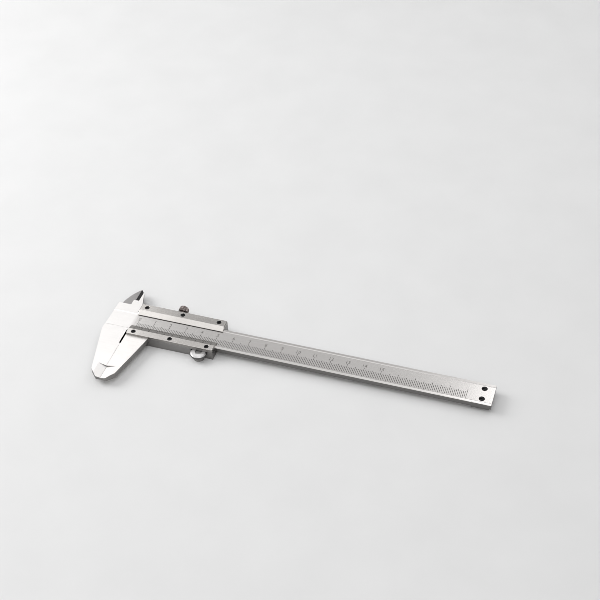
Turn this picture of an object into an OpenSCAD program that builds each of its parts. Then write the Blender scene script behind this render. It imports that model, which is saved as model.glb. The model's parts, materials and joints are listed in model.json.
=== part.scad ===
// Vernier caliper for 0 to 150 mm, with outside jaws, inside jaws, depth rod,
// thumb roller and lock screw, drawn closed.
// X runs along the beam to its free end, Y runs across it towards the inside
// jaws, and Z comes out of the scale face. X = 0 is the plane where the outside
// measuring faces meet, Y = 0 is the beam's lower edge, and Z = 0 is the middle
// of the beam's thickness.

/* [Beam] */
// Distance from the outside measuring faces to the free end of the beam
beam_end = 218; // [214:1:240]
// Width of the beam
beam_w = 16; // [15.8:0.1:16.2]
// Thickness of the beam and of the jaws
beam_t = 3.5; // [3.5:0.1:4]
// Width of the raised land along the lower edge
lower_land_w = 1.4; // [1:0.1:2]
// Width of the raised land along the upper edge
upper_land_w = 1.7; // [1:0.1:2]
// Depth of the scale face below the lands
scale_step = 0.2; // [0.1:0.05:0.3]

/* [Depth rod] */
// Width of the depth rod
rod_w = 3; // [2.4:0.1:3.4]
// Thickness of the depth rod
rod_t = 1.4; // [1:0.1:1.5]

/* [Outside jaws] */
// Length of the outside jaws below the beam
jaw_len = 40; // [39:1:45]
// Length below the beam where the measuring faces are relieved
relief_len = 11.8; // [9:0.1:14]
// Depth of the relief in the fixed jaw
relief_w = 0.85; // [0.6:0.05:0.85]
// Depth of the relief in the moving jaw
relief_step = 0.25; // [0.2:0.05:0.5]
// Distance below the beam where the tips start to be thinned
thin_start = 31; // [28:0.5:33]
// Depth that the thinning takes off each side at the measuring face
thin_depth = 1; // [0.6:0.1:1.2]

/* [Inside jaws] */
// Height of the tips of the inside jaws above the beam's lower edge
blade_top = 36.3; // [35:0.1:37]
// Distance from the outside measuring faces back to the knife edges
blade_edge = 6.8; // [6.6:0.1:7]
// Width of the ground bevel behind each knife edge
blade_bevel = 3; // [2.4:0.1:3.2]

/* [Slider] */
// Right end of the slider when the caliper is closed
slider_end = 55; // [54:0.5:57]
// Top edge of the slider
slider_top = 21.65; // [21.4:0.05:22]
// Drop of the slider's lower edge below the beam
slider_drop = 4; // [4:0.1:4.4]
// Thickness of the two strips on the front
strip_t = 1.45; // [1.3:0.05:1.6]
// Thickness of the back wall behind the beam
wall_t = 1.65; // [1.6:0.05:2]
// Thickness of the back cover
cover_t = 0.8; // [0.8:0.05:1]
// Running gap between the slider and the beam
run_gap = 0.05; // [0.04:0.01:0.08]

/* [Thumb roller and lock screw] */
// Radius of the thumb roller
roller_r = 4.85; // [4.6:0.05:4.9]
// Position of the roller along the slider
roller_x = 46.6; // [46.4:0.1:46.8]
// Radius of the lock screw's knurled head
lock_head_r = 3; // [2.8:0.1:3.4]
// Position of the lock screw along the slider
lock_x = 25; // [24:0.1:25.1]

/* [Hidden] */
$fn = 64;
eps = 0.01;
// Clearance round parts that are fixed, and round shanks that turn
fit = 0.02;
turn_gap = 0.03;

// Levels through the thickness, from the front of the strips to the back cover
face_z = beam_t / 2;
seat_z = face_z + run_gap;
strip_z = seat_z + strip_t;
wall_in_z = -seat_z;
wall_out_z = wall_in_z - wall_t;
back_z = wall_out_z - cover_t;

// Width of the sloped step between the scale face and each land
step_slope = 0.4;
// Chamfer along the beam's edges, and along both edges of the measuring faces
beam_chamfer = 0.3;
jaw_chamfer = 0.15;

// Fixed head
head_left = -15.2;
head_top = 20.8;
head_right = -0.4;
head_corner = 1;
jaw_shoulder = [-15.8, -2.7];
jaw_lean = 8.2;
half_gap = 0.04;
recess_y = 17;
tab_left = -7.2;
tab_top = 25;
jaw_tip_w = 3;
jaw_tip_h = 4.8;
thin_w = 5.5;
thin_slope = 14;

// Inside jaws: the fixed one's shoulder and root, the moving one's neck, heel and
// arched back, and the land left at each knife edge
blade_shoulder = [-3.4, blade_top - 4.5];
blade_root_y = 22.3;
neck_left = -12.6;
neck_y = recess_y + 0.25;
heel_y = 23.5;
heel_right = -4;
arch_start = [-13.9, 21.8];
arch_bulge = 1.1;
arch_steps = 16;
knife_land = 0.15;

// Moving jaw, which is a little narrower than the fixed one
moving_root = [14.33, -4.18];
moving_corner_x = 7.1;

// Depth rod, its groove, and the foot that carries it
rod_y = 7.8;
rod_z = -face_z + run_gap;
groove_side = 0.1;
groove_z = rod_z + rod_t + groove_side;
groove_start = 33;
foot = [34.2, 46];
foot_w = 6;
foot_rivets = [37, 43];

// Stop plate at the free end
stop_left = beam_end - 11;
stop_right = beam_end - 1;
stop_edge = 0.6;
stop_t = 1.2;
stop_screw_x = beam_end - 6;
stop_screw_dy = 3.9;
stop_screw_r = 1;
stop_head_r = 1.7;
stop_head_h = 0.7;

// Slider
slider_left = 0;
strip_left = 0.5;
slider_low = -slider_drop;
upper_edge_y = 13.4;
upper_flat_y = 16.8;
lower_flat_y = 0.2;
lower_edge_y = 4;
strip_lip = 0.25;
end_bevel = 0.5;
strip_screw_x = [4.3, 27.5, 50.6];
upper_screw_y = 19.3;
lower_screw_y = -1.75;
strip_head_r = 1.4;
strip_head_h = 0.9;
strip_thread_r = 0.65;
strip_thread_end = seat_z - 0.8;
slot_w = 0.5;
slot_d = 0.4;

// Gib and its pocket in the upper rail
gib_t = 0.9;
gib_free = 0.27;
gib_y = beam_w + gib_free;
gib_top = gib_y + gib_t;
gib_half = face_z - 0.15;
gib_pocket_top = gib_top + 0.14;
gib_pocket = [3, slider_end - 2.6];
gib_end_gap = 0.2;
lip_y = beam_w + 0.15;
gib_screw_x = [12, 42];
gib_screw_r = 1;
gib_screw_end = slider_top - 0.3;
gib_slot_d = 0.6;

// Lock screw, with its axis across the beam
lock_r = 1.25;
lock_neck_r = 1.45;
lock_neck = [slider_top + 0.45, slider_top + 2.6];
lock_head_end = slider_top + 6.2;
lock_teeth = 32;
lock_chamfer = 0.5;

// Thumb roller, under the beam's lower edge
roller_y = -roller_r - run_gap;
roller_z = [-1.4, 0.8];
roller_pocket_r = roller_r + 0.45;
roller_web_z = 0.9;
roller_teeth = 50;
roller_chamfer = 0.45;
knurl = 0.18;
bush_r = 1.6;
axle_r = 1;
axle_tail_r = 0.8;
axle_head_r = 1.9;
axle_head = [0.1, 0.65];
bush_z = [roller_z[0], axle_head[0] - 0.05];
lug_r = 3.2;
washer_r = 2.6;
washer_t = 0.3;

// Back cover
cover_rim = 1.3;
cover_left = slider_left + cover_rim;
cover_right = slider_end - cover_rim;
cover_low = slider_low + cover_rim;
cover_high = slider_top - cover_rim;
cover_inset = 3;
cover_head_r = 1.3;
cover_shank_r = 0.7;
countersink = 0.5;
cover_hole_d = wall_t - 0.4;
cover_shank_d = wall_t - 0.5;

steel = "silver";
dark_steel = "gray";
black_oxide = "#1c1c1e";
brass = "#c2a35a";

// Box between two corners
module box(low, high) {
    translate(low)
        cube(high - low);
}

// Points of a toothed circle that stands for a straight knurl
function knurled_circle(r, teeth) =
    [for (i = [0 : 2 * teeth - 1])
        let (a = i * 180 / teeth, rr = r - (i % 2) * knurl)
        [rr * cos(a), rr * sin(a)]];

// Disc along Z from z0 to z1 with chamfered rims
module chamfered_disc(r, z0, z1, c) {
    rotate_extrude()
        polygon([[0, z0], [r - c, z0], [r, z0 + c], [r, z1 - c], [r - c, z1], [0, z1]]);
}

// Knurled band between two smooth chamfers that start inside the teeth
module knurled_disc(r, z0, z1, c, teeth) {
    translate([0, 0, z0 + c])
        linear_extrude(z1 - z0 - 2 * c)
            polygon(knurled_circle(r, teeth));
    chamfered_disc(r - 1.3 * knurl, z0, z1, c);
}

// Screw along Z: countersunk head from z1 down, then a shank down to z0
module flat_screw(head_r, shank_r, z0, z1, sink) {
    translate([0, 0, z0])
        cylinder(r = shank_r, h = z1 - z0);
    translate([0, 0, z1 - sink])
        cylinder(r1 = shank_r, r2 = head_r, h = sink);
}

// Cheese-head screw of a strip: sunk head with a cross recess
module strip_screw() {
    difference() {
        union() {
            translate([0, 0, strip_z - strip_head_h])
                cylinder(r = strip_head_r, h = strip_head_h);
            translate([0, 0, strip_thread_end])
                cylinder(r = strip_thread_r, h = strip_z - strip_thread_end - eps);
        }
        for (a = [0, 90])
            rotate(a)
                translate([-slot_w * 1.7, -slot_w / 2, strip_z - slot_d])
                    cube([slot_w * 3.4, slot_w, slot_d + eps]);
    }
}

// Hole that takes a strip screw
module strip_screw_hole() {
    translate([0, 0, strip_z - strip_head_h])
        cylinder(r = strip_head_r + fit, h = strip_head_h + eps);
    translate([0, 0, strip_thread_end])
        cylinder(r = strip_thread_r + fit, h = strip_z - strip_thread_end);
}

// One strip: its section from the outer edge (y0) over the flat to the thin
// bevelled edge (y1), with both ends bevelled
module strip_blank(left, y0, flat_y, y1) {
    lip_z = seat_z + strip_lip;
    difference() {
        rotate([90, 0, 90])
            translate([0, 0, left])
                linear_extrude(slider_end - left)
                    polygon([[y0, seat_z], [y0, strip_z], [flat_y, strip_z],
                        [y1, lip_z], [y1, seat_z]]);
        rotate([90, 0, 0])
            linear_extrude(4 * beam_w, center = true)
                polygon([[slider_end - end_bevel, strip_z], [slider_end + eps, strip_z - end_bevel],
                    [slider_end + eps, strip_z + eps], [slider_end - end_bevel, strip_z + eps]]);
    }
}

// Outline of the fixed jaw with the head, one flat shape
module fixed_jaw_outline() {
    difference() {
        polygon([[head_left, recess_y + 1], jaw_shoulder,
            [jaw_shoulder[0] + jaw_lean, -jaw_len + jaw_tip_h], [-jaw_tip_w, -jaw_len],
            [0, -jaw_len], [0, 0], [0, beam_w], [head_right, beam_w],
            [head_right, recess_y + 1]]);
        relief_cut(-1);
    }
}

// Relief above the measuring faces; side is -1 for the fixed jaw, 1 for the moving one
module relief_cut(side) {
    w = side < 0 ? relief_w : relief_step;
    x0 = side < 0 ? -w : -eps;
    x1 = side < 0 ? eps : w;
    translate([x0, -relief_len + w])
        square([x1 - x0, relief_len - w]);
    intersection() {
        translate([0, -relief_len + w])
            circle(r = w);
        translate([x0, -relief_len])
            square([x1 - x0, relief_len]);
    }
}

// Wedges that thin the tips of a jaw towards its measuring face
module tip_thinning(side) {
    for (front = [0, 1])
        mirror([0, 0, front])
            intersection() {
                rotate([90, 0, 0])
                    linear_extrude(jaw_len + 1)
                        polygon([[side * thin_w, face_z], [side * -eps, face_z - thin_depth],
                            [side * -eps, face_z + 1], [side * thin_w, face_z + 1]]);
                linear_extrude(face_z + 2)
                    polygon([[side * -1, -thin_start], [side * -1, -jaw_len - 1],
                        [side * (thin_w + 1), -jaw_len - 1],
                        [side * (thin_w + 1), -thin_start + tan(thin_slope) * thin_w]]);
            }
}

// Chamfers along the front and the back edge of a measuring face
module jaw_edge_chamfers(side) {
    c = side * jaw_chamfer;
    for (front = [0, 1], low = [0, 1]) {
        z = face_z - low * thin_depth;
        y = low ? [-jaw_len - 1, -thin_start] : [-thin_start, relief_w - relief_len];
        mirror([0, 0, front])
            translate([0, y[1], 0])
                rotate([90, 0, 0])
                    linear_extrude(y[1] - y[0])
                        polygon([[c, z + eps], [-side * eps, z - jaw_chamfer],
                            [-side * eps, z + thin_depth / 2], [c, z + thin_depth / 2]]);
    }
}

// Front half of the head with the fixed inside jaw
module fixed_blade() {
    difference() {
        translate([0, 0, half_gap])
            linear_extrude(face_z - half_gap)
                union() {
                    polygon([[head_left, recess_y], [head_left, head_top - head_corner],
                        [head_left + head_corner, head_top], [tab_left, head_top],
                        [tab_left, tab_top], [-blade_edge, tab_top], [-blade_edge, blade_top],
                        blade_shoulder, [head_right, blade_root_y], [head_right, recess_y]]);
                    translate([head_left + head_corner, head_top - head_corner])
                        circle(r = head_corner);
                }
        // Ground bevel that leaves the knife edge at the middle of the thickness
        rotate([90, 0, 0])
            translate([0, 0, -blade_top - 1])
                linear_extrude(blade_top + 1 - tab_top)
                    polygon([[-blade_edge - eps, half_gap + knife_land],
                        [-blade_edge + blade_bevel, face_z + eps],
                        [-blade_edge - 1, face_z + eps], [-blade_edge - 1, half_gap + knife_land]]);
    }
}

// Plain bar of the beam with its four long edges chamfered
module beam_bar() {
    y = [0, beam_w];
    c = beam_chamfer;
    rotate([90, 0, 90])
        translate([0, 0, jaw_shoulder[0] + 2])
            linear_extrude(beam_end - jaw_shoulder[0] - 2)
                polygon([[y[0] + c, -face_z], [y[1] - c, -face_z], [y[1], c - face_z],
                    [y[1], face_z - c], [y[1] - c, face_z], [y[0] + c, face_z],
                    [y[0], face_z - c], [y[0], c - face_z]]);
}

module beam() {
    color(steel)
        difference() {
            union() {
                beam_bar();
                difference() {
                    translate([0, 0, -face_z])
                        linear_extrude(beam_t)
                            fixed_jaw_outline();
                    tip_thinning(-1);
                    jaw_edge_chamfers(-1);
                    // Rear half of the head's top, cut away for the moving inside jaw
                    box([head_left - 2, recess_y, -face_z - eps], [1, recess_y + 2, half_gap]);
                }
                fixed_blade();
            }
            // Recessed scale face, with a sloped step up to each land
            rotate([90, 0, 90])
                translate([0, 0, head_left - 2])
                    linear_extrude(beam_end - head_left + 3)
                        polygon([[lower_land_w + step_slope, face_z - scale_step],
                            [beam_w - upper_land_w - step_slope, face_z - scale_step],
                            [beam_w - upper_land_w, face_z], [beam_w - upper_land_w, face_z + 1],
                            [lower_land_w, face_z + 1], [lower_land_w, face_z]]);
            // Groove for the depth rod
            box([groove_start, rod_y - rod_w / 2 - groove_side, -face_z - 1],
                [beam_end + 1, rod_y + rod_w / 2 + groove_side, groove_z]);
            // Countersunk holes for the stop plate's screws
            for (s = [-1, 1])
                translate([stop_screw_x, rod_y + s * stop_screw_dy, 0]) {
                    cylinder(r = stop_screw_r + fit, h = beam_t + 1, center = true);
                    translate([0, 0, face_z - scale_step - stop_head_h])
                        cylinder(r = stop_head_r + fit, h = 2);
                }
        }
}

module end_stop_plate() {
    color(steel)
        difference() {
            box([stop_left, stop_edge, -face_z - stop_t], [stop_right, beam_w - stop_edge, -face_z]);
            for (s = [-1, 1])
                translate([stop_screw_x, rod_y + s * stop_screw_dy, -face_z - stop_t - 1])
                    cylinder(r = stop_screw_r + fit, h = stop_t + 2);
        }
}

module end_stop_screws() {
    head_z = face_z - scale_step;
    color(black_oxide)
        for (s = [-1, 1])
            translate([stop_screw_x, rod_y + s * stop_screw_dy, 0])
                difference() {
                    union() {
                        translate([0, 0, -face_z - stop_t])
                            cylinder(r = stop_screw_r, h = stop_t + face_z + head_z - stop_head_h / 2);
                        translate([0, 0, head_z - stop_head_h])
                            cylinder(r = stop_head_r, h = stop_head_h);
                    }
                    translate([-stop_head_r, -slot_w / 2, head_z - slot_d])
                        cube([2 * stop_head_r, slot_w, slot_d + eps]);
                }
}

// Outline of the moving outside jaw
module moving_jaw_outline() {
    difference() {
        polygon([[0, -jaw_len], [jaw_tip_w, -jaw_len], [moving_corner_x, -jaw_len + jaw_tip_h],
            moving_root, [moving_root[0], slider_low + 1], [0, slider_low + 1]]);
        relief_cut(1);
    }
}

// Rear half-thickness inside jaw that belongs to the slider. Its back edge is
// an arc that bulges from the root to the tip.
module moving_blade() {
    chord = [-blade_edge, blade_top] - arch_start;
    side = [-chord[1], chord[0]] / norm(chord);
    back_edge = [for (i = [0 : arch_steps])
        let (u = i / arch_steps)
        arch_start + u * chord + side * arch_bulge * 4 * u * (1 - u)];
    difference() {
        translate([0, 0, -face_z])
            linear_extrude(face_z - half_gap)
                polygon(concat([[slider_left + 2, neck_y], [neck_left, neck_y]],
                    back_edge,
                    [[-blade_edge, heel_y], [heel_right, slider_top], [slider_left + 2, slider_top]]));
        // Ground bevel on the back, opposite the fixed jaw's
        rotate([90, 0, 0])
            translate([0, 0, -blade_top - 1])
                linear_extrude(blade_top + 1 - tab_top)
                    polygon([[-blade_edge + eps, -half_gap - knife_land],
                        [-blade_edge - blade_bevel, -face_z - eps],
                        [-blade_edge + 1, -face_z - eps], [-blade_edge + 1, -half_gap - knife_land]]);
    }
}

// Lug behind the roller that holds its axle
module roller_lug() {
    translate([roller_x, roller_y, back_z])
        cylinder(r = lug_r, h = wall_in_z - back_z);
    box([roller_x - lug_r, roller_y, back_z], [roller_x + lug_r, slider_low + 1, wall_in_z]);
}

module slider_frame() {
    color(steel)
        difference() {
            union() {
                // Back wall, then the lower and the upper rail
                box([strip_left, slider_low, back_z], [slider_end, slider_top, wall_in_z]);
                box([strip_left, slider_low, wall_in_z - 1], [slider_end, -run_gap, seat_z]);
                box([slider_left, lip_y, wall_in_z - 1], [slider_end, slider_top, seat_z]);
                translate([0, 0, -face_z])
                    linear_extrude(beam_t)
                        moving_jaw_outline();
                moving_blade();
                roller_lug();
            }
            tip_thinning(1);
            jaw_edge_chamfers(1);
            // Pocket for the gib
            box([gib_pocket[0], lip_y - 1, wall_in_z], [gib_pocket[1], gib_pocket_top, seat_z + 1]);
            // Window for the depth rod's foot, and recess for the back cover
            box([foot[0] - fit, rod_y - foot_w / 2 - fit, wall_out_z - 1],
                [foot[1] + fit, rod_y + foot_w / 2 + fit, wall_in_z + 1]);
            box([cover_left - fit, cover_low - fit, back_z - 1],
                [cover_right + fit, cover_high + fit, wall_out_z]);
            // Pocket for the roller, which leaves a web in front of it
            translate([roller_x, roller_y, wall_in_z])
                cylinder(r = roller_pocket_r, h = roller_web_z - wall_in_z);
            translate([roller_x, roller_y, back_z - 1])
                cylinder(r = axle_tail_r + fit, h = wall_in_z - back_z + 2);
            // Tapped holes for the lock screw, the gib screws and the strips
            translate([lock_x, lip_y, 0])
                rotate([-90, 0, 0])
                    cylinder(r = lock_r + turn_gap, h = slider_top);
            for (x = gib_screw_x)
                translate([x, lip_y, 0])
                    rotate([-90, 0, 0])
                        cylinder(r = gib_screw_r + fit, h = slider_top);
            for (x = strip_screw_x, y = [upper_screw_y, lower_screw_y])
                translate([x, y, 0])
                    strip_screw_hole();
            for (p = cover_corners())
                translate([p[0], p[1], wall_out_z - eps])
                    cylinder(r = cover_shank_r + fit, h = cover_hole_d);
        }
}

module upper_strip() {
    color(steel)
        difference() {
            strip_blank(strip_left, slider_top, upper_flat_y, upper_edge_y);
            for (x = strip_screw_x)
                translate([x, upper_screw_y, 0])
                    strip_screw_hole();
        }
}

module upper_strip_screws() {
    color(black_oxide)
        for (x = strip_screw_x)
            translate([x, upper_screw_y, 0])
                strip_screw();
}

module vernier_plate() {
    color(steel)
        difference() {
            strip_blank(strip_left, slider_low, lower_flat_y, lower_edge_y);
            for (x = strip_screw_x)
                translate([x, lower_screw_y, 0])
                    strip_screw_hole();
        }
}

module vernier_plate_screws() {
    color(black_oxide)
        for (x = strip_screw_x)
            translate([x, lower_screw_y, 0])
                strip_screw();
}

// Places of the back cover's four screws
function cover_corners() =
    [for (x = [cover_left + cover_inset, cover_right - cover_inset],
        y = [cover_low + cover_inset, cover_high - cover_inset]) [x, y]];

module back_cover() {
    color(steel)
        difference() {
            box([cover_left, cover_low, back_z], [cover_right, cover_high, wall_out_z]);
            for (p = cover_corners())
                translate([p[0], p[1], 0])
                    mirror([0, 0, 1])
                        flat_screw(cover_head_r + fit, cover_shank_r + fit,
                            -wall_in_z, -back_z + eps, countersink);
            for (x = foot_rivets)
                translate([x, rod_y, 0])
                    mirror([0, 0, 1])
                        flat_screw(cover_head_r + fit, cover_shank_r + fit,
                            -wall_in_z, -back_z + eps, countersink);
        }
}

module back_cover_screws() {
    color(black_oxide)
        for (p = cover_corners())
            translate([p[0], p[1], 0])
                difference() {
                    mirror([0, 0, 1])
                        flat_screw(cover_head_r, cover_shank_r,
                            -wall_out_z - cover_shank_d, -back_z, countersink);
                    translate([-cover_head_r, -slot_w / 2, back_z - eps])
                        cube([2 * cover_head_r, slot_w, slot_d]);
                }
}

module depth_rod() {
    color(steel)
        difference() {
            union() {
                box([foot[0], rod_y - rod_w / 2, rod_z], [beam_end, rod_y + rod_w / 2, rod_z + rod_t]);
                box([foot[0], rod_y - rod_w / 2, wall_in_z - eps],
                    [foot[1], rod_y + rod_w / 2, rod_z + eps]);
                box([foot[0], rod_y - foot_w / 2, wall_out_z], [foot[1], rod_y + foot_w / 2, wall_in_z]);
            }
            for (x = foot_rivets)
                translate([x, rod_y, wall_out_z - 1])
                    cylinder(r = cover_shank_r + fit, h = wall_t + 0.5);
        }
}

module depth_rod_rivets() {
    color(dark_steel)
        for (x = foot_rivets)
            translate([x, rod_y, 0])
                mirror([0, 0, 1])
                    flat_screw(cover_head_r, cover_shank_r, -wall_in_z + 0.6, -back_z, countersink);
}

module gib_strip() {
    color(brass)
        box([gib_pocket[0] + gib_end_gap, gib_y, -gib_half],
            [gib_pocket[1] - gib_end_gap, gib_top, gib_half]);
}

module gib_screws() {
    color(black_oxide)
        for (x = gib_screw_x)
            difference() {
                translate([x, gib_top + fit, 0])
                    rotate([-90, 0, 0])
                        cylinder(r = gib_screw_r, h = gib_screw_end - gib_top - fit);
                box([x - gib_screw_r, gib_screw_end - gib_slot_d, -slot_w / 2],
                    [x + gib_screw_r, slider_top, slot_w / 2]);
            }
}

module lock_screw() {
    color(steel)
        translate([lock_x, 0, 0])
            rotate([-90, 0, 0]) {
                translate([0, 0, gib_top + fit])
                    cylinder(r = lock_r, h = lock_neck[0] - gib_top);
                translate([0, 0, lock_neck[0]])
                    cylinder(r = lock_neck_r, h = lock_neck[1] - lock_neck[0] + eps);
                knurled_disc(lock_head_r, lock_neck[1], lock_head_end, lock_chamfer, lock_teeth);
            }
}

module thumb_roller() {
    color(steel)
        translate([roller_x, roller_y, 0])
            difference() {
                knurled_disc(roller_r, roller_z[0], roller_z[1], roller_chamfer, roller_teeth);
                translate([0, 0, roller_z[0] - 1])
                    cylinder(r = bush_r, h = 5);
                translate([0, 0, axle_head[0] - 0.05])
                    cylinder(r = axle_head_r + 0.1, h = 2);
            }
}

module roller_bush() {
    color(brass)
        translate([roller_x, roller_y, bush_z[0]])
            difference() {
                cylinder(r = bush_r, h = bush_z[1] - bush_z[0]);
                translate([0, 0, -1])
                    cylinder(r = axle_r + turn_gap, h = 5);
            }
}

module roller_axle() {
    color(dark_steel)
        translate([roller_x, roller_y, 0]) {
            translate([0, 0, back_z])
                cylinder(r = axle_tail_r, h = wall_in_z - back_z + eps);
            translate([0, 0, wall_in_z])
                cylinder(r = axle_r, h = axle_head[0] - wall_in_z + eps);
            chamfered_disc(axle_head_r, axle_head[0], axle_head[1], 0.2);
        }
}

module roller_washer() {
    color(dark_steel)
        translate([roller_x, roller_y, wall_in_z])
            difference() {
                cylinder(r = washer_r, h = washer_t);
                translate([0, 0, -1])
                    cylinder(r = axle_r + fit, h = 3);
            }
}

beam();
end_stop_plate();
end_stop_screws();
slider_frame();
upper_strip();
upper_strip_screws();
vernier_plate();
vernier_plate_screws();
back_cover();
back_cover_screws();
depth_rod();
depth_rod_rivets();
gib_strip();
gib_screws();
lock_screw();
thumb_roller();
roller_bush();
roller_axle();
roller_washer();
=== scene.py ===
# Vernier caliper, closed, lying on its back with the scale up.
import json
import math
from collections import namedtuple

import bmesh
import bpy
from mathutils import Matrix, Vector


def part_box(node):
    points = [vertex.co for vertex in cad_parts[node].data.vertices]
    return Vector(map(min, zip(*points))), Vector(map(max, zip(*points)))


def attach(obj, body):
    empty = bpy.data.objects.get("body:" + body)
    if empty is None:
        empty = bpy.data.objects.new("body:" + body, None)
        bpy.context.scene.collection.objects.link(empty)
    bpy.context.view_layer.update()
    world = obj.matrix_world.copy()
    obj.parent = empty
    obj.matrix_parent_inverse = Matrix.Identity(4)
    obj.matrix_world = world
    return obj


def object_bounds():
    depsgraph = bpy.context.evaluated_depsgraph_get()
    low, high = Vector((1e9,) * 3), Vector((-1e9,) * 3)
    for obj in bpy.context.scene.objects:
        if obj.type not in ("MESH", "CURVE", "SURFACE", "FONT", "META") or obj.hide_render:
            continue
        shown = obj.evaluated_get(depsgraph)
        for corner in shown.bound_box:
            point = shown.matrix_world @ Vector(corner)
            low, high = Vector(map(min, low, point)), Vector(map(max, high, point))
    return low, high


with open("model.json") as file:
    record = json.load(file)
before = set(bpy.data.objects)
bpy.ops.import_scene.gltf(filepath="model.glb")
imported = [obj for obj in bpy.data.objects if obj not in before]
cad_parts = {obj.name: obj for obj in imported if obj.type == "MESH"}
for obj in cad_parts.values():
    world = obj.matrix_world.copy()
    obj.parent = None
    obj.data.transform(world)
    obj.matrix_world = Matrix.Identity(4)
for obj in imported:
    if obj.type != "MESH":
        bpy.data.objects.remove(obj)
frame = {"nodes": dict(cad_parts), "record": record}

MM = 0.001
CAD_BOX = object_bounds()

# Places: x runs from the measuring faces, y from the beam's lower edge, z from its middle.
# Up the beam, the lower land ends, then the slope to the upper land and that land itself start.
HEAD_END = 0.4 * MM
LOWER_LAND = 1.8 * MM
UPPER_SLOPE = 13.85 * MM
UPPER_LAND = 14.3 * MM
# The lands and the scale's face lie above this height, and most of the walls below it
LAND_Z = 1.45 * MM
# The scale's face lies this far below the front of the head
SCALE_STEP = 0.2 * MM

# Beam's scale: a mark on every millimetre, with longer ones on every fifth and every tenth
ZERO_X = 3.25 * MM
SCALE_MM = 200
TICK_WIDTH = 0.25 * MM
TICK_FOOT = 2.2 * MM
TICK_TOPS = {1: 6.95 * MM, 5: 7.8 * MM, 10: 8.75 * MM}
NUMERAL_STEP = 10
LAST_NUMERAL = 15
NUMERAL_BASE = 9.0 * MM
NUMERAL_HEIGHT = 2.6 * MM

# Bevel of the lower strip: where it starts and ends, and the strip's thickness at its end
BEVEL_FLAT_Y = 0.2 * MM
BEVEL_EDGE_Y = 4.0 * MM
BEVEL_EDGE_LIP = 0.25 * MM

# Vernier on that bevel: 50 divisions over 49 mm, whose marks run back from a gap at its end.
# The numerals' top is measured from the bevel's start.
VERNIER_DIVISIONS = 50
VERNIER_SPAN = 49 * MM
VERNIER_EDGE_GAP = 0.12 * MM
VERNIER_TICK_WIDTH = 0.24 * MM
VERNIER_LENGTHS = {1: 1.5 * MM, 5: 2.1 * MM}
VERNIER_NUMERAL_STEP = 5
VERNIER_NUMERAL_HEIGHT = 1.45 * MM
VERNIER_NUMERAL_TOP = 1.65 * MM

# Numerals: width against the typeface's own, and stroke gain, spacing and half depth at size 1
NUMERAL_WIDTH = 0.82
NUMERAL_GAIN = 0.018
NUMERAL_SPACING = 1.08
NUMERAL_EXTRUDE = 0.01

# Marks stand this far out of the face and reach this far into it
MARK_PROUD = 0.006 * MM
MARK_DEPTH = 0.03 * MM


# ---------------------------------------------------------------- materials
# Sockets of a Mix node by number, as those of its types share their names
MIX_FACTOR = 0
MIX_FLOAT_A, MIX_FLOAT_B, MIX_FLOAT_OUT = 2, 3, 0
MIX_COLOR_A, MIX_COLOR_B, MIX_COLOR_OUT = 6, 7, 2

# Size of a normal's own Z on a wall, and on a face, which bound the painted shade on walls
WALL_NORMAL = 0.35
FACE_NORMAL = 0.6


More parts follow.
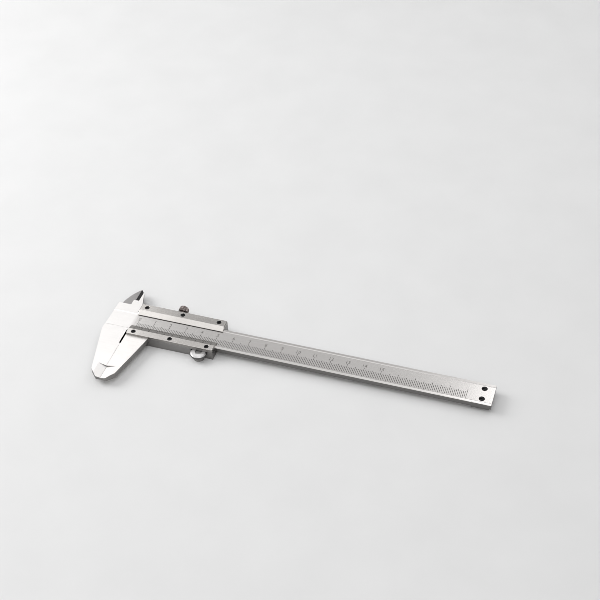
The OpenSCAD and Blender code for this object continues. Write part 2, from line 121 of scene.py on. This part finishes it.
class Nodes:
    """Short calls for building a node tree."""

    def __init__(self, name):
        self.material = bpy.data.materials.new(name)
        self.material.use_nodes = True
        self.tree = self.material.node_tree
        self.tree.nodes.clear()
        out = self.add("ShaderNodeOutputMaterial")
        self.shader = self.add("ShaderNodeBsdfPrincipled")
        self.link(self.shader, "BSDF", out, "Surface")

    def add(self, kind, **settings):
        node = self.tree.nodes.new(kind)
        for key, value in settings.items():
            setattr(node, key, value)
        return node

    def link(self, source, output, target, socket):
        self.tree.links.new(source.outputs[output], target.inputs[socket])

    def coordinates(self, scale, place=(0, 0, 0), turn=(0, 0, 0)):
        """Object coordinates, moved so that place is the origin, turned and then scaled."""
        source = self.add("ShaderNodeTexCoord")
        move = self.add("ShaderNodeMapping")
        move.inputs["Location"].default_value = [-v for v in place]
        self.link(source, "Object", move, "Vector")
        spin = self.add("ShaderNodeMapping")
        spin.inputs["Rotation"].default_value = turn
        spin.inputs["Scale"].default_value = scale
        self.link(move, "Vector", spin, "Vector")
        return spin

    def noise(self, coordinates, detail=4.0, roughness=0.55):
        node = self.add("ShaderNodeTexNoise")
        node.inputs["Scale"].default_value = 1.0
        node.inputs["Detail"].default_value = detail
        node.inputs["Roughness"].default_value = roughness
        self.link(coordinates, "Vector", node, "Vector")
        return node

    def remap(self, source, output, low, high, to_low, to_high):
        """Node that takes an output of source from low and high to to_low and to_high."""
        node = self.add("ShaderNodeMapRange")
        node.inputs["From Min"].default_value = low
        node.inputs["From Max"].default_value = high
        node.inputs["To Min"].default_value = to_low
        node.inputs["To Max"].default_value = to_high
        self.link(source, output, node, "Value")
        return node

    def combine(self, operation, first, second):
        """Math node on two sockets."""
        node = self.add("ShaderNodeMath", operation=operation)
        self.tree.links.new(first, node.inputs[0])
        self.tree.links.new(second, node.inputs[1])
        return node

    def tint(self, dark, light, factor):
        """Colour socket between dark and light, by a factor socket."""
        node = self.add("ShaderNodeMix", data_type="RGBA")
        self.tree.links.new(factor, node.inputs[MIX_FACTOR])
        node.inputs[MIX_COLOR_A].default_value = (*dark, 1)
        node.inputs[MIX_COLOR_B].default_value = (*light, 1)
        return node.outputs[MIX_COLOR_OUT]

    def zone(self, low, high, soft):
        """Factor socket that is 1 inside a box of the object's coordinates.

        A side that is None is open, and the others have a soft border."""
        source = self.add("ShaderNodeTexCoord")
        split = self.add("ShaderNodeSeparateXYZ")
        self.link(source, "Object", split, "Vector")
        factors = []
        for axis, start, end in zip("XYZ", low, high):
            for edge, inside in ((start, 1), (end, -1)):
                if edge is not None:
                    node = self.remap(split, axis, edge - inside * soft, edge + inside * soft, 0, 1)
                    factors.append(node.outputs["Result"])
        while len(factors) > 1:
            both = self.combine("MULTIPLY", factors.pop(), factors.pop())
            factors.append(both.outputs[0])
        return factors[0]

    def sides(self):
        """Factor socket that is 1 on walls, which stand up from the object's own XY plane, where
        shade is painted.
        """
        source = self.add("ShaderNodeTexCoord")
        split = self.add("ShaderNodeSeparateXYZ")
        self.link(source, "Normal", split, "Vector")
        size = self.add("ShaderNodeMath", operation="ABSOLUTE")
        self.link(split, "Z", size, 0)
        return self.remap(size, 0, WALL_NORMAL, FACE_NORMAL, 1, 0).outputs["Result"]

    def grade(self, color, factor, scale):
        """Colour socket multiplied by scale where factor is 1."""
        node = self.add("ShaderNodeMix", data_type="RGBA", blend_type="MULTIPLY")
        self.tree.links.new(factor, node.inputs[MIX_FACTOR])
        self.tree.links.new(color, node.inputs[MIX_COLOR_A])
        node.inputs[MIX_COLOR_B].default_value = (*scale, 1)
        return node.outputs[MIX_COLOR_OUT]

    def blend_to(self, value, factor, target):
        """Value socket that becomes target where factor is 1."""
        node = self.add("ShaderNodeMix", data_type="FLOAT")
        self.tree.links.new(factor, node.inputs[MIX_FACTOR])
        self.tree.links.new(value, node.inputs[MIX_FLOAT_A])
        node.inputs[MIX_FLOAT_B].default_value = target
        return node.outputs[MIX_FLOAT_OUT]

    def finish(self, color, gloss):
        """Colour and roughness sockets of the shader."""
        self.tree.links.new(color, self.shader.inputs["Base Color"])
        self.tree.links.new(gloss, self.shader.inputs["Roughness"])

    def bump(self, height, strength, distance, edge=0.0):
        """Relief from a height socket, over edges that look rounded by edge."""
        node = self.add("ShaderNodeBump")
        node.inputs["Strength"].default_value = strength
        node.inputs["Distance"].default_value = distance
        self.tree.links.new(height, node.inputs["Height"])
        if edge:
            rounded = self.add("ShaderNodeBevel", samples=4)
            rounded.inputs["Radius"].default_value = edge
            self.link(rounded, "Normal", node, "Normal")
        self.link(node, "Normal", self.shader, "Normal")


def grey(level):
    return (level, level, level)


def scaled(color, factor):
    return tuple(min(1.0, c * factor) for c in color)


# Scales of the metal's patterns along x, y and z; the grain and its streaks run along x
GRAIN = (45, 5200, 5200)
STREAKS = tuple(g * 0.12 for g in GRAIN)
CLOUDS = (60, 140, 140)
WEAR = (260, 260, 260)
# Scale of the rings on turned metal
RINGS = 900
RELIEF_DEPTH = 0.02 * MM

# A zone is a box, its soft border, the factor on the colour there, and any roughness there
Zone = namedtuple("Zone", "low high soft tint rough", defaults=(None,))


def brushed_metal(name, color, roughness, contrast=0.06, relief=0.25, edge=0.1 * MM, zones=(),
                  wall=1.0, slot_shade=None):
    """Satin metal with grain lines along x, over edges that look rounded by edge.

    Walls are darker by the factor wall, and those in the slot's zone darker again by that zone's
    own factor: both are painted shade."""
    nodes = Nodes(name)
    nodes.shader.inputs["Metallic"].default_value = 1.0
    lines = nodes.noise(nodes.coordinates(GRAIN), detail=6, roughness=0.7)
    streaks = nodes.noise(nodes.coordinates(STREAKS), detail=3)
    clouds = nodes.noise(nodes.coordinates(CLOUDS), detail=4)
    mixed = nodes.combine("MULTIPLY", lines.outputs["Fac"], streaks.outputs["Fac"])
    mixed = nodes.combine("ADD", mixed.outputs[0], clouds.outputs["Fac"])
    factor = nodes.remap(mixed, 0, 0.45, 1.05, 0, 1).outputs["Result"]
    tone = nodes.tint(scaled(color, 1 - contrast), scaled(color, 1 + contrast), factor)
    wear = nodes.noise(nodes.coordinates(WEAR), detail=5, roughness=0.65)
    gloss = nodes.combine("ADD", lines.outputs["Fac"], wear.outputs["Fac"])
    # The deeper the relief, the more the roughness varies
    spread = 0.04 + 0.4 * relief
    low, high = roughness * (1 - spread), roughness * (1 + spread)
    gloss = nodes.remap(gloss, 0, 0.6, 1.4, low, high).outputs["Result"]
    for zone in zones:
        inside = nodes.zone(zone.low, zone.high, zone.soft)
        tone = nodes.grade(tone, inside, zone.tint)
        gloss = nodes.blend_to(gloss, inside, zone.rough)
    # Painted shade on the walls, and more of it on the walls of the slot
    if wall < 1:
        tone = nodes.grade(tone, nodes.sides(), grey(wall))
    if slot_shade:
        inside = nodes.zone(slot_shade.low, slot_shade.high, slot_shade.soft)
        slot = nodes.combine("MULTIPLY", inside, nodes.sides())
        tone = nodes.grade(tone, slot.outputs[0], slot_shade.tint)
    nodes.finish(tone, gloss)
    nodes.bump(lines.outputs["Fac"], relief, RELIEF_DEPTH, edge)
    return nodes.material


def turned_metal(name, color, roughness, centre, axis, wall):
    """Machined metal with fine rings about an axis through centre, and walls darker by wall as
    painted shade.
    """
    nodes = Nodes(name)
    nodes.shader.inputs["Metallic"].default_value = 1.0
    turn = (math.pi / 2, 0, 0) if axis == "Y" else (0, 0, 0)
    rings = nodes.add("ShaderNodeTexWave", wave_type="RINGS", rings_direction="Z")
    rings.inputs["Scale"].default_value = RINGS
    rings.inputs["Distortion"].default_value = 0.6
    rings.inputs["Detail"].default_value = 2
    nodes.link(nodes.coordinates((1, 1, 1), centre, turn), "Vector", rings, "Vector")
    clouds = nodes.noise(nodes.coordinates((500, 500, 500)), detail=5)
    mixed = nodes.combine("ADD", rings.outputs["Fac"], clouds.outputs["Fac"])
    factor = nodes.remap(mixed, 0, 0.3, 1.7, 0, 1)
    tone = nodes.tint(scaled(color, 0.86), scaled(color, 1.12), factor.outputs["Result"])
    gloss = nodes.remap(clouds, "Fac", 0.3, 0.7, roughness * 0.8, roughness * 1.25)
    nodes.finish(nodes.grade(tone, nodes.sides(), grey(wall)), gloss.outputs["Result"])
    nodes.bump(rings.outputs["Fac"], 0.25, RELIEF_DEPTH, edge=0.05 * MM)
    return nodes.material


def oxide_black(name, color, roughness):
    """Black oxide on steel, worn a little lighter in spots."""
    nodes = Nodes(name)
    nodes.shader.inputs["Metallic"].default_value = 0.7
    spots = nodes.noise(nodes.coordinates((1800, 1800, 1800)), detail=5, roughness=0.7)
    factor = nodes.remap(spots, "Fac", 0.45, 0.8, 0, 1)
    tone = nodes.tint(color, scaled(color, 3.2), factor.outputs["Result"])
    gloss = nodes.remap(spots, "Fac", 0.3, 0.7, roughness * 0.85, roughness * 1.3)
    nodes.finish(tone, gloss.outputs["Result"])
    nodes.bump(spots.outputs["Fac"], 0.3, RELIEF_DEPTH / 2, edge=0.06 * MM)
    return nodes.material


def infill_paint(name, color):
    """Matt dark paint left in the engraved lines, uneven from mark to mark."""
    nodes = Nodes(name)
    nodes.shader.inputs["Specular IOR Level"].default_value = 0.3
    patches = nodes.noise(nodes.coordinates((700, 700, 700)), detail=4)
    factor = nodes.remap(patches, "Fac", 0.35, 0.7, 0, 1)
    tone = nodes.tint(color, scaled(color, 2.2), factor.outputs["Result"])
    gloss = nodes.remap(patches, "Fac", 0.3, 0.7, 0.55, 0.8)
    nodes.finish(tone, gloss.outputs["Result"])
    return nodes.material


def studio_floor_material():
    """Pale matt floor, uneven by a trace."""
    nodes = Nodes("pale_floor")
    grain = nodes.noise(nodes.coordinates((30, 30, 30)), detail=3)
    factor = nodes.remap(grain, "Fac", 0.3, 0.7, 0, 1)
    tone = nodes.tint(grey(0.73), grey(0.755), factor.outputs["Result"])
    gloss = nodes.remap(grain, "Fac", 0.3, 0.7, 0.7, 0.8)
    nodes.finish(tone, gloss.outputs["Result"])
    return nodes.material


# Zones' borders: the top of the moving outside jaw, the foot and right end of the moving inside
# jaw's dark part, the bevel of the fixed inside jaw, and the slot between the outside jaws
OUTSIDE_JAW_TOP = -4 * MM
INSIDE_JAW_FOOT = 17.5 * MM
INSIDE_JAW_RIGHT = -0.4 * MM
BEVEL_LEFT, BEVEL_RIGHT = -7.2 * MM, -3.85 * MM
BEVEL_FOOT = 25 * MM
SLOT_REACH = 1 * MM
SLOT_FOOT = -11.9 * MM
SLOT_TOP = 0.1 * MM

OPEN = (None, None, None)
# Soft border of a zone that ends at an edge in the metal
CRISP = 0.05 * MM
# Roughness of the zones
MATT = 0.5
GROUND = 0.3
POLISHED = 0.26

BEAM_ZONES = (
    # Head and fixed jaws
    Zone(OPEN, (HEAD_END, None, None), 1.2 * MM, (1.27, 1.28, 1.29), MATT),
    # Bevel of the fixed inside jaw, dark because it mirrors a black case in the photograph
    Zone((BEVEL_LEFT, BEVEL_FOOT, None), (BEVEL_RIGHT, None, None), CRISP,
         (0.04, 0.041, 0.045), GROUND),
    # Lower land, the slope down from the upper land darkened as painted shade, and the upper land
    Zone((HEAD_END, None, LAND_Z), (None, LOWER_LAND, None), CRISP, grey(1.25), GROUND),
    Zone((HEAD_END, UPPER_SLOPE, LAND_Z), (None, UPPER_LAND, None), CRISP, grey(0.72), GROUND),
    Zone((HEAD_END, UPPER_LAND, LAND_Z), OPEN, CRISP, grey(0.86), GROUND),
)
SLIDER_ZONES = (
    # Moving outside jaw, matt like the fixed one
    Zone(OPEN, (None, OUTSIDE_JAW_TOP, None), 0.03 * MM, grey(1.3), MATT),
    # Moving inside jaw behind the head, which mirrors the case as well
    Zone((None, INSIDE_JAW_FOOT, None), (INSIDE_JAW_RIGHT, None, 0), CRISP,
         (0.48, 0.48, 0.49), GROUND),
)
# Walls of the relief slot between the two jaws, kept black as painted shade
SLOT_SHADE = Zone(
    (-SLOT_REACH, SLOT_FOOT, None), (SLOT_REACH, SLOT_TOP, None), 0.02 * MM, grey(0.06))
# Ends of the strips next to the head, with a painted highlight that fades out along the strip
UPPER_ZONES = (Zone(OPEN, (13 * MM, None, None), 12 * MM, grey(1.32), POLISHED),)
LOWER_ZONES = (Zone(OPEN, (5 * MM, None, None), 6 * MM, grey(1.2), POLISHED),)

STEEL = (0.71, 0.69, 0.675)
# Each wall factor paints shade and reflection onto the side faces
MATERIALS = {
    "beam_steel": brushed_metal(
        "beam_steel", STEEL, 0.25, contrast=0.03, relief=0.08, edge=0, zones=BEAM_ZONES,
        wall=0.27, slot_shade=SLOT_SHADE),
    "slider_steel": brushed_metal(
        "slider_steel", STEEL, 0.3, zones=SLIDER_ZONES, wall=0.34, slot_shade=SLOT_SHADE),
    "strip_steel": brushed_metal(
        "strip_steel", (0.55, 0.53, 0.51), 0.26, contrast=0.09, relief=0.35,
        zones=UPPER_ZONES, wall=0.6),
    # The lower strip's steel is a lighter copy of the strip steel: painted light
    "vernier_steel": brushed_metal(
        "vernier_steel", (0.67, 0.645, 0.62), 0.26, contrast=0.09, relief=0.35,
        zones=LOWER_ZONES, wall=0.42),
    "rod_steel": brushed_metal("rod_steel", grey(0.55), 0.3),
    "black_oxide": oxide_black("black_oxide", (0.012, 0.012, 0.013), 0.42),
    "brass": brushed_metal("brass", (0.70, 0.52, 0.24), 0.35),
    "tick_paint": infill_paint("tick_paint", (0.03, 0.027, 0.025)),
    "numeral_paint": infill_paint("numeral_paint", (0.145, 0.14, 0.135)),
}

# Knurled pieces, each with rings about its own axis
# Their wall factor is painted shade on the knurled sides, strongest on the roller
TURNED = {
    "lock_screw": {"color": (0.30, 0.26, 0.25), "roughness": 0.3, "axis": "Y", "wall": 0.7},
    "thumb_roller": {"color": (0.84, 0.83, 0.83), "roughness": 0.42, "axis": "Z", "wall": 0.18},
}


def dress_nodes():
    """A CAD node takes its slot's material, unless it is turned or the vernier plate."""
    slots = {part["node"]: part["material_slot"] for part in frame["record"]["subparts"]}
    for name, node in frame["nodes"].items():
        if name in TURNED:
            low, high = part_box(name)
            made = turned_metal(name + "_metal", centre=(low + high) / 2, **TURNED[name])
        # The vernier plate takes the lighter copy of the strip steel, which is painted light
        elif name == "vernier_plate":
            made = MATERIALS["vernier_steel"]
        else:
            made = MATERIALS[slots[name]]
        for slot in node.material_slots:
            slot.material = made
        if not node.material_slots:
            node.data.materials.append(made)


# ---------------------------------------------------------------- edges
# Edges of these pieces are cut back by this much
EDGE_BREAKS = {
    "upper_strip": 0.1 * MM, "vernier_plate": 0.1 * MM, "back_cover": 0.08 * MM,
    "end_stop_plate": 0.1 * MM, "upper_strip_screws": 0.05 * MM,
    "vernier_plate_screws": 0.05 * MM, "end_stop_screws": 0.05 * MM,
}
WELD_GAP = 0.002 * MM
# Faces that meet at less than the first angle are one flat; past the second, they meet at an edge
FLAT_ANGLE = math.radians(0.5)
EDGE_ANGLE = math.radians(32)


def break_edges():
    """Welds, cleans and bevels by modifiers, so the CAD meshes stay as they are."""
    for name, width in EDGE_BREAKS.items():
        node = frame["nodes"][name]
        weld = node.modifiers.new("weld", "WELD")
        weld.merge_threshold = WELD_GAP
        flat = node.modifiers.new("flat", "DECIMATE")
        flat.decimate_type = "DISSOLVE"
        flat.angle_limit = FLAT_ANGLE
        bevel = node.modifiers.new("edge_break", "BEVEL")
        bevel.width = width
        bevel.segments = 2
        bevel.limit_method = "ANGLE"
        bevel.angle_limit = EDGE_ANGLE
        bevel.use_clamp_overlap = False


# ---------------------------------------------------------------- graduations
def mesh_piece(name, mesh_builder, material, body):
    """One mesh object whose bmesh mesh_builder fills."""
    mesh = bpy.data.meshes.new(name)
    bm = bmesh.new()
    mesh_builder(bm)
    bmesh.ops.recalc_face_normals(bm, faces=bm.faces)
    bm.to_mesh(mesh)
    bm.free()
    piece = bpy.data.objects.new(name, mesh)
    bpy.context.scene.collection.objects.link(piece)
    mesh.materials.append(material)
    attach(piece, body)


# Faces of a bar, whose corners go round its inner side and then round its outer side
BAR_FACES = ((3, 2, 1, 0), (4, 5, 6, 7), (0, 1, 5, 4), (1, 2, 6, 5), (2, 3, 7, 6), (3, 0, 4, 7))


def add_bar(bm, x, width, v0, v1, surface):
    """Closed bar across x at v0 to v1 of a surface, given as a matrix whose Z is its normal."""
    corners = []
    for w in (-MARK_DEPTH, MARK_PROUD):
        for u, v in ((-1, v0), (1, v0), (1, v1), (-1, v1)):
            corners.append(bm.verts.new(surface @ Vector((x + u * width / 2, v, w))))
    for face in BAR_FACES:
        bm.faces.new([corners[i] for i in face])


def numeral_mesh(text, height):
    """Mesh of a numeral, centred in x, with its foot at 0 and its height as given."""
    curve = bpy.data.curves.new("numeral", "FONT")
    curve.body = text
    curve.align_x = "CENTER"
    curve.size = 1.0
    curve.offset = NUMERAL_GAIN
    curve.space_character = NUMERAL_SPACING
    curve.extrude = NUMERAL_EXTRUDE
    curve.resolution_u = 3
    shown = bpy.data.objects.new("numeral", curve)
    bpy.context.scene.collection.objects.link(shown)
    bpy.context.view_layer.update()
    graph = bpy.context.evaluated_depsgraph_get()
    mesh = bpy.data.meshes.new_from_object(shown.evaluated_get(graph))
    bpy.data.objects.remove(shown)
    bpy.data.curves.remove(curve)
    low = min(v.co.y for v in mesh.vertices)
    high = max(v.co.y for v in mesh.vertices)
    left = min(v.co.x for v in mesh.vertices)
    right = max(v.co.x for v in mesh.vertices)
    size = height / (high - low)
    depth = (MARK_PROUD + MARK_DEPTH) / (2 * NUMERAL_EXTRUDE)
    for v in mesh.vertices:
        v.co = ((v.co.x - (left + right) / 2) * size * NUMERAL_WIDTH, (v.co.y - low) * size,
                (v.co.z + NUMERAL_EXTRUDE) * depth - MARK_DEPTH)
    return mesh


def add_numeral(bm, text, height, place, surface):
    """Numeral whose foot's middle is at place on a surface."""
    mesh = numeral_mesh(text, height)
    mesh.transform(surface @ Matrix.Translation((place[0], place[1], 0)))
    bm.from_mesh(mesh)
    bpy.data.meshes.remove(mesh)


def mark_kind(index, kinds):
    """The longest kind of mark that index is due."""
    return max(kind for kind in kinds if index % kind == 0)


def beam_surface():
    """Matrix of the beam's scale face, whose Z is its normal."""
    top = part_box("beam")[1].z
    return Matrix.Translation((0, 0, top - SCALE_STEP))


def make_beam_scale():
    """Marks and numerals of the beam."""
    surface = beam_surface()

    def ticks(bm):
        for i in range(SCALE_MM + 1):
            top = TICK_TOPS[mark_kind(i, TICK_TOPS)]
            add_bar(bm, ZERO_X + i * MM, TICK_WIDTH, TICK_FOOT, top, surface)

    def numerals(bm):
        for i in range(LAST_NUMERAL + 1):
            place = (ZERO_X + NUMERAL_STEP * i * MM, NUMERAL_BASE)
            add_numeral(bm, str(i), NUMERAL_HEIGHT, place, surface)

    mesh_piece("beam_scale_marks", ticks, MATERIALS["tick_paint"], "beam")
    mesh_piece("beam_scale_numerals", numerals, MATERIALS["numeral_paint"], "beam")


def vernier_surface():
    """Matrix of the lower strip's bevel, x along the strip and y up the slope, and its width."""
    low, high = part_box("vernier_plate")
    start = Vector((0, BEVEL_FLAT_Y, high.z))
    end = Vector((0, BEVEL_EDGE_Y, low.z + BEVEL_EDGE_LIP))
    slope = (end - start).normalized()
    normal = Vector((1, 0, 0)).cross(slope)
    turn = Matrix((Vector((1, 0, 0)), slope, normal)).transposed().to_4x4()
    return Matrix.Translation(start) @ turn, (end - start).length


def make_vernier_scale():
    """Marks and numerals of the vernier, which ends on 0 again."""
    surface, width = vernier_surface()
    pitch = VERNIER_SPAN / VERNIER_DIVISIONS
    edge = width - VERNIER_EDGE_GAP

    def ticks(bm):
        for i in range(VERNIER_DIVISIONS + 1):
            length = VERNIER_LENGTHS[mark_kind(i, VERNIER_LENGTHS)]
            add_bar(bm, ZERO_X + i * pitch, VERNIER_TICK_WIDTH, edge - length, edge, surface)

    def numerals(bm):
        for i in range(0, VERNIER_DIVISIONS + 1, VERNIER_NUMERAL_STEP):
            text = str(i // VERNIER_NUMERAL_STEP % 10)
            place = (ZERO_X + i * pitch, VERNIER_NUMERAL_TOP - VERNIER_NUMERAL_HEIGHT)
            add_numeral(bm, text, VERNIER_NUMERAL_HEIGHT, place, surface)

    mesh_piece("vernier_marks", ticks, MATERIALS["tick_paint"], "slider")
    mesh_piece("vernier_numerals", numerals, MATERIALS["tick_paint"], "slider")


# ---------------------------------------------------------------- stage
# The floor reaches this far each way, in metres
FLOOR_REACH = 6.0


def make_floor():
    """Square floor under the lowest point of the CAD model."""
    ground = CAD_BOX[0][2]
    mesh = bpy.data.meshes.new("floor")
    signs = ((-1, -1), (1, -1), (1, 1), (-1, 1))
    corners = [(x * FLOOR_REACH, y * FLOOR_REACH, ground) for x, y in signs]
    mesh.from_pydata(corners, [], [(0, 1, 2, 3)])
    floor = bpy.data.objects.new("floor", mesh)
    bpy.context.scene.collection.objects.link(floor)
    mesh.materials.append(studio_floor_material())


# View: angles in degrees, distance in metres, lens and sensor in millimetres. The azimuth
# swings from straight in front towards the beam's free end.
VIEW_AZIMUTH = 19.83
VIEW_ELEVATION = 42.86
VIEW_ROLL = 2.69
VIEW_DISTANCE = 0.7467
VIEW_LENS = 73.76
VIEW_SENSOR = 36
# The point in the middle of the picture
VIEW_POINT = Vector((0.0897, 0.0543, 0))


def make_camera():
    """Camera at the photograph's viewing angle."""
    azimuth, elevation, roll = (math.radians(a) for a in (VIEW_AZIMUTH, VIEW_ELEVATION, VIEW_ROLL))
    flat = Vector((-math.sin(azimuth), math.cos(azimuth), 0))
    forward = flat * math.cos(elevation) + Vector((0, 0, -math.sin(elevation)))
    level_right = forward.cross(Vector((0, 0, 1))).normalized()
    level_up = level_right.cross(forward)
    right = level_right * math.cos(roll) - level_up * math.sin(roll)
    up = right.cross(forward)
    turn = Matrix((right, up, -forward)).transposed().to_4x4()
    data = bpy.data.cameras.new("camera")
    data.lens = VIEW_LENS
    data.sensor_width = VIEW_SENSOR
    data.clip_start = 0.01
    camera = bpy.data.objects.new("camera", data)
    camera.matrix_world = Matrix.Translation(VIEW_POINT - forward * VIEW_DISTANCE) @ turn
    bpy.context.scene.collection.objects.link(camera)
    bpy.context.scene.camera = camera


def area_light(name, place, target, size, power):
    """Soft rectangular light at place that faces target."""
    data = bpy.data.lights.new(name, "AREA")
    data.shape = "RECTANGLE"
    data.size, data.size_y = size
    data.energy = power
    light = bpy.data.objects.new(name, data)
    place = Vector(place)
    aim = (Vector(target) - place).to_track_quat("-Z", "Y").to_matrix().to_4x4()
    light.matrix_world = Matrix.Translation(place) @ aim
    bpy.context.scene.collection.objects.link(light)


# Lights: where each stands, what it faces and its size, in metres, and its power in watts
LIGHTS = {
    "overhead": ((-0.1, 0.0, 0.9), (0.08, 0, 0), (0.7, 0.5), 0.78),
    "left_key": ((-0.85, 0.05, 0.6), (0.05, 0, 0), (0.6, 0.6), 6.5),
    "left_card": ((-0.37, 0.40, 0.47), (-0.01, 0, 0), (0.2, 0.34), 0.26),
    "right_card": ((0.267, 0.54, 0.60), (0.215, 0, 0), (0.225, 0.34), 0.50),
    "front_card": ((0.30, -0.53, 0.62), (0.09, 0, 0), (0.3, 0.12), 0.45),
}
# Brightness of the room, from the horizon at 0 to straight above at 1
SKY = ((0.0, 0.18), (0.2, 0.28), (0.45, 0.44), (0.72, 0.62), (0.9, 0.78), (1.0, 0.90))


def make_lights():
    """The area lights, and a room that gets brighter with height."""
    for name, (place, target, size, power) in LIGHTS.items():
        area_light(name, place, target, size, power)
    world = bpy.data.worlds.new("studio")
    world.use_nodes = True
    tree = world.node_tree
    back = tree.nodes["Background"]
    source = tree.nodes.new("ShaderNodeTexCoord")
    split = tree.nodes.new("ShaderNodeSeparateXYZ")
    ramp = tree.nodes.new("ShaderNodeValToRGB")
    tree.links.new(source.outputs["Generated"], split.inputs["Vector"])
    tree.links.new(split.outputs["Z"], ramp.inputs["Fac"])
    tree.links.new(ramp.outputs["Color"], back.inputs["Color"])
    stops = ramp.color_ramp.elements
    while len(stops) < len(SKY):
        stops.new(0.5)
    for stop, (height, level) in zip(stops, SKY):
        stop.position = height
        stop.color = (*grey(level), 1)
    back.inputs["Strength"].default_value = 1.0
    bpy.context.scene.world = world


bpy.context.scene.view_settings.view_transform = "Standard"
# Keeps the fine millimetre lines apart
bpy.context.scene.cycles.filter_width = 0.8
dress_nodes()
break_edges()
make_beam_scale()
make_vernier_scale()
make_floor()
make_camera()
make_lights()
